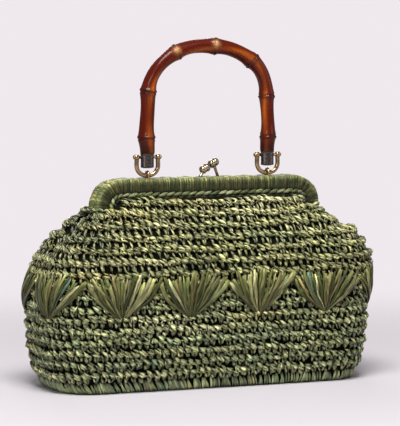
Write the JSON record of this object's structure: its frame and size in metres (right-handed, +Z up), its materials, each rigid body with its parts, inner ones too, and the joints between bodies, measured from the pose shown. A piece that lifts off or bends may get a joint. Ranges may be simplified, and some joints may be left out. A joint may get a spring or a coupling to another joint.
{
  "type": "handbag",
  "caption": "Crocheted raffia frame handbag with long-stitch fans, a wrapped hinged frame, a kiss-lock clasp and an arched bamboo handle hung on swinging shackles.",
  "frame": {"origin": "middle of the foot, on the surface the bag stands on", "axes": "+X along the frame to the viewer's right, -Y out of the front, +Z up"},
  "size_m": [0.3276, 0.1348, 0.3222],
  "materials": {
    "raffia_body": "shiny flat raffia strands in olive and sage green",
    "raffia_fan": "long shiny raffia strands in mixed greens",
    "raffia_wrap": "close raffia winding in dark olive",
    "lining_cloth": "plain woven cloth",
    "base_board": "stiff board",
    "frame_steel": "plated strip steel",
    "gold_metal": "gold-tone plating, a little worn",
    "clasp_metal": "pale gold-tone plating",
    "ferrule_metal": "dark nickel",
    "bamboo": "varnished red-brown bamboo"
  },
  "bodies": {
    "bag": {"crochet_body": "raffia_body", "lining": "lining_cloth", "base_board": "base_board", "fan_01": "raffia_fan", "fan_02": "raffia_fan", "fan_03": "raffia_fan", "fan_04": "raffia_fan", "fan_05": "raffia_fan", "fan_06": "raffia_fan", "fan_07": "raffia_fan", "fan_08": "raffia_fan", "fan_09": "raffia_fan", "fan_10": "raffia_fan", "fan_11": "raffia_fan", "fan_12": "raffia_fan", "front_frame_bar": "frame_steel", "front_frame_wrap": "raffia_wrap", "left_frame_eye": "gold_metal", "right_frame_eye": "gold_metal", "front_clasp_finger": "clasp_metal", "hinge_rivets": "frame_steel"},
    "rear_frame": {"rear_frame_bar": "frame_steel", "rear_frame_wrap": "raffia_wrap", "rear_clasp_finger": "clasp_metal"},
    "left_shackle_link": {"left_shackle": "gold_metal", "left_shackle_pin": "gold_metal"},
    "right_shackle_link": {"right_shackle": "gold_metal", "right_shackle_pin": "gold_metal"},
    "handle": {"bamboo_handle": "bamboo", "left_ferrule": "ferrule_metal", "right_ferrule": "ferrule_metal"}
  },
  "joints": [
    {"name": "frame_open", "type": "hinge", "parent": "bag", "child": "rear_frame", "pos_m": [0, 0, 0.125], "axis": [-1, 0, 0], "range_deg": [0, 48], "deforming": ["crochet_body", "lining"]},
    {"name": "left_shackle_swing", "type": "hinge", "parent": "bag", "child": "left_shackle_link", "pos_m": [-0.0605, -0.0066, 0.1944], "axis": [1, 0, 0], "range_deg": [-58, 75]},
    {"name": "right_shackle_swing", "type": "hinge", "parent": "bag", "child": "right_shackle_link", "pos_m": [0.0605, -0.0066, 0.1944], "axis": [1, 0, 0], "range_deg": [-58, 75]},
    {"name": "handle_swing", "type": "hinge", "parent": "left_shackle_link", "child": "handle", "pos_m": [-0.0605, -0.0066, 0.2112], "axis": [1, 0, 0], "range_deg": [-40, 65]}
  ],
  "couplings": [
    {"joint": "right_shackle_swing", "follows": "left_shackle_swing", "ratio": 1}
  ]
}
